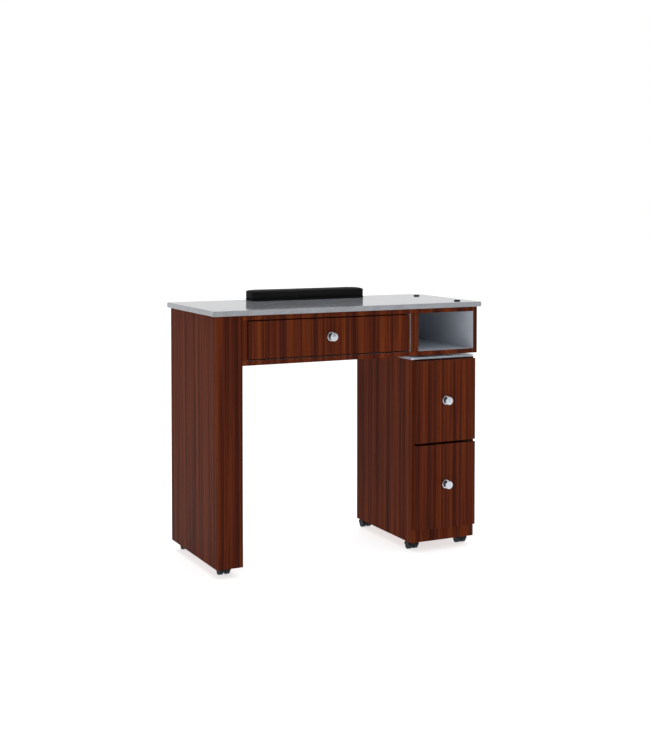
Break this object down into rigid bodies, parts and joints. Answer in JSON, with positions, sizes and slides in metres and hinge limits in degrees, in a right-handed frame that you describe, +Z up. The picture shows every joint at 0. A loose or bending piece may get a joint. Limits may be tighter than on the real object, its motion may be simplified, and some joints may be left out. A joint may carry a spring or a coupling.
{
  "type": "manicure table",
  "caption": "Narrow manicure table: stone-look top with armrest cushion, hollow leg, wide drawer, open cubby and drawer pedestal, on small twin-wheel casters.",
  "frame": {"origin": "on the floor, under the middle of the object's box, drawer knobs included", "axes": "+X to the technician's right along the top, towards the pedestal; +Y away from the technician, from the drawer side to the client side; +Z up"},
  "size_m": [0.9176, 0.4264, 0.8183],
  "materials": {
    "reddish_wood": "satin veneer, straight vertical grain, pale grey laminate on the inner faces",
    "grey_stone": "polished",
    "pale_grey_laminate": "satin",
    "white_drawer_board": "white melamine",
    "drawer_bottom_board": "white-faced hardboard",
    "zinc_plated_steel": "zinc plated",
    "satin_chrome": "satin chrome",
    "black_plastic": "moulded",
    "dark_wheel_plastic": "moulded",
    "black_vinyl": "fine grain vinyl",
    "black_base_board": "matt black",
    "black_rubber": "matt"
  },
  "bodies": {
    "table": {"table_top": "grey_stone", "hole_plug_front": "black_rubber", "hole_plug_rear": "black_rubber", "cushion_base_board": "black_base_board", "armrest_cushion": "black_vinyl", "leg_front": "reddish_wood", "leg_back": "reddish_wood", "leg_outer_side": "reddish_wood", "leg_inner_side": "reddish_wood", "leg_bottom": "reddish_wood", "box_bottom": "reddish_wood", "box_top": "reddish_wood", "box_right_side": "reddish_wood", "box_back": "reddish_wood", "bay_left_wall": "reddish_wood", "bay_right_wall": "reddish_wood", "cubby_left_wall": "reddish_wood", "pedestal_left_side": "reddish_wood", "pedestal_right_side": "reddish_wood", "pedestal_back": "reddish_wood", "pedestal_base_rail": "reddish_wood", "pedestal_top": "pale_grey_laminate", "pedestal_riser": "reddish_wood", "pedestal_bottom": "reddish_wood", "wide_drawer_rail_left": "zinc_plated_steel", "wide_drawer_rail_right": "zinc_plated_steel", "upper_drawer_rail_left": "zinc_plated_steel", "upper_drawer_rail_right": "zinc_plated_steel", "lower_drawer_rail_left": "zinc_plated_steel", "lower_drawer_rail_right": "zinc_plated_steel"},
    "wide_drawer": {"wide_drawer_front": "reddish_wood", "wide_drawer_knob": "satin_chrome", "wide_drawer_walls": "white_drawer_board", "wide_drawer_bottom": "drawer_bottom_board", "wide_drawer_runner_left": "zinc_plated_steel", "wide_drawer_runner_right": "zinc_plated_steel"},
    "upper_drawer": {"upper_drawer_front": "reddish_wood", "upper_drawer_knob": "satin_chrome", "upper_drawer_walls": "white_drawer_board", "upper_drawer_bottom": "drawer_bottom_board", "upper_drawer_runner_left": "zinc_plated_steel", "upper_drawer_runner_right": "zinc_plated_steel"},
    "lower_drawer": {"lower_drawer_front": "reddish_wood", "lower_drawer_knob": "satin_chrome", "lower_drawer_walls": "white_drawer_board", "lower_drawer_bottom": "drawer_bottom_board", "lower_drawer_runner_left": "zinc_plated_steel", "lower_drawer_runner_right": "zinc_plated_steel"},
    "leg_caster_front_swivel": {"leg_caster_front_hood": "black_plastic"},
    "leg_caster_front_wheelset": {"leg_caster_front_wheels": "dark_wheel_plastic"},
    "leg_caster_rear_swivel": {"leg_caster_rear_hood": "black_plastic"},
    "leg_caster_rear_wheelset": {"leg_caster_rear_wheels": "dark_wheel_plastic"},
    "pedestal_caster_front_left_swivel": {"pedestal_caster_front_left_hood": "black_plastic"},
    "pedestal_caster_front_left_wheelset": {"pedestal_caster_front_left_wheels": "dark_wheel_plastic"},
    "pedestal_caster_front_right_swivel": {"pedestal_caster_front_right_hood": "black_plastic"},
    "pedestal_caster_front_right_wheelset": {"pedestal_caster_front_right_wheels": "dark_wheel_plastic"},
    "pedestal_caster_rear_left_swivel": {"pedestal_caster_rear_left_hood": "black_plastic"},
    "pedestal_caster_rear_left_wheelset": {"pedestal_caster_rear_left_wheels": "dark_wheel_plastic"},
    "pedestal_caster_rear_right_swivel": {"pedestal_caster_rear_right_hood": "black_plastic"},
    "pedestal_caster_rear_right_wheelset": {"pedestal_caster_rear_right_wheels": "dark_wheel_plastic"}
  },
  "joints": [
    {"name": "wide_drawer_slide", "type": "slide", "parent": "table", "child": "wide_drawer", "axis": [0, -1, 0], "range_m": [0, 0.25]},
    {"name": "upper_drawer_slide", "type": "slide", "parent": "table", "child": "upper_drawer", "axis": [0, -1, 0], "range_m": [0, 0.25]},
    {"name": "lower_drawer_slide", "type": "slide", "parent": "table", "child": "lower_drawer", "axis": [0, -1, 0], "range_m": [0, 0.25]},
    {"name": "leg_caster_front_swivel", "type": "hinge", "parent": "table", "child": "leg_caster_front_swivel", "pos_m": [-0.40525, -0.14875, 0.029], "axis": [0, 0, 1], "continuous": true},
    {"name": "leg_caster_front_roll", "type": "hinge", "parent": "leg_caster_front_swivel", "child": "leg_caster_front_wheelset", "pos_m": [-0.40525, -0.13275, 0.012], "axis": [1, 0, 0], "continuous": true},
    {"name": "leg_caster_rear_swivel", "type": "hinge", "parent": "table", "child": "leg_caster_rear_swivel", "pos_m": [-0.40525, 0.16725, 0.029], "axis": [0, 0, 1], "continuous": true},
    {"name": "leg_caster_rear_roll", "type": "hinge", "parent": "leg_caster_rear_swivel", "child": "leg_caster_rear_wheelset", "pos_m": [-0.40525, 0.18325, 0.012], "axis": [1, 0, 0], "continuous": true},
    {"name": "pedestal_caster_front_left_swivel", "type": "hinge", "parent": "table", "child": "pedestal_caster_front_left_swivel", "pos_m": [0.24155, -0.14325, 0.029], "axis": [0, 0, 1], "continuous": true},
    {"name": "pedestal_caster_front_left_roll", "type": "hinge", "parent": "pedestal_caster_front_left_swivel", "child": "pedestal_caster_front_left_wheelset", "pos_m": [0.24155, -0.12725, 0.012], "axis": [1, 0, 0], "continuous": true},
    {"name": "pedestal_caster_front_right_swivel", "type": "hinge", "parent": "table", "child": "pedestal_caster_front_right_swivel", "pos_m": [0.42125, -0.14325, 0.029], "axis": [0, 0, 1], "continuous": true},
    {"name": "pedestal_caster_front_right_roll", "type": "hinge", "parent": "pedestal_caster_front_right_swivel", "child": "pedestal_caster_front_right_wheelset", "pos_m": [0.42125, -0.12725, 0.012], "axis": [1, 0, 0], "continuous": true},
    {"name": "pedestal_caster_rear_left_swivel", "type": "hinge", "parent": "table", "child": "pedestal_caster_rear_left_swivel", "pos_m": [0.24155, 0.17025, 0.029], "axis": [0, 0, 1], "continuous": true},
    {"name": "pedestal_caster_rear_left_roll", "type": "hinge", "parent": "pedestal_caster_rear_left_swivel", "child": "pedestal_caster_rear_left_wheelset", "pos_m": [0.24155, 0.18625, 0.012], "axis": [1, 0, 0], "continuous": true},
    {"name": "pedestal_caster_rear_right_swivel", "type": "hinge", "parent": "table", "child": "pedestal_caster_rear_right_swivel", "pos_m": [0.42125, 0.17025, 0.029], "axis": [0, 0, 1], "continuous": true},
    {"name": "pedestal_caster_rear_right_roll", "type": "hinge", "parent": "pedestal_caster_rear_right_swivel", "child": "pedestal_caster_rear_right_wheelset", "pos_m": [0.42125, 0.18625, 0.012], "axis": [1, 0, 0], "continuous": true}
  ]
}
